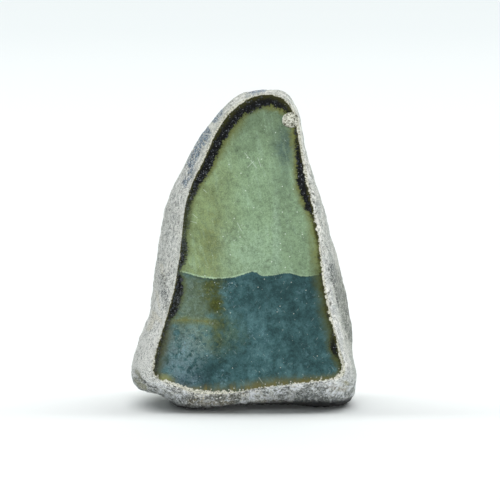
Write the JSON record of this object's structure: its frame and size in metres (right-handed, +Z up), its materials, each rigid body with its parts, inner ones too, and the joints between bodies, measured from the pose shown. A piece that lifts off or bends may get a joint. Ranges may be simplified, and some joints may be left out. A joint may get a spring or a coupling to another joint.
{
  "type": "raw jade boulder",
  "caption": "Upright river-worn jade boulder: grey-rinded, one side sawn flat and polished to show green over blue-green jade inside a dark skin.",
  "frame": {"origin": "centre of the stone's bounding box in plan, on the surface that the stone stands on", "axes": "+Z up the stone's height to its tip; -Y out of the polished window; +X to the right as the window is faced"},
  "size_m": [0.057, 0.0324, 0.0799],
  "materials": {
    "jade_stone": "rough grey rind over the stone, with one flat polished side of green and blue-green jade"
  },
  "bodies": {
    "root": {"jade_boulder": "jade_stone"}
  },
  "joints": []
}
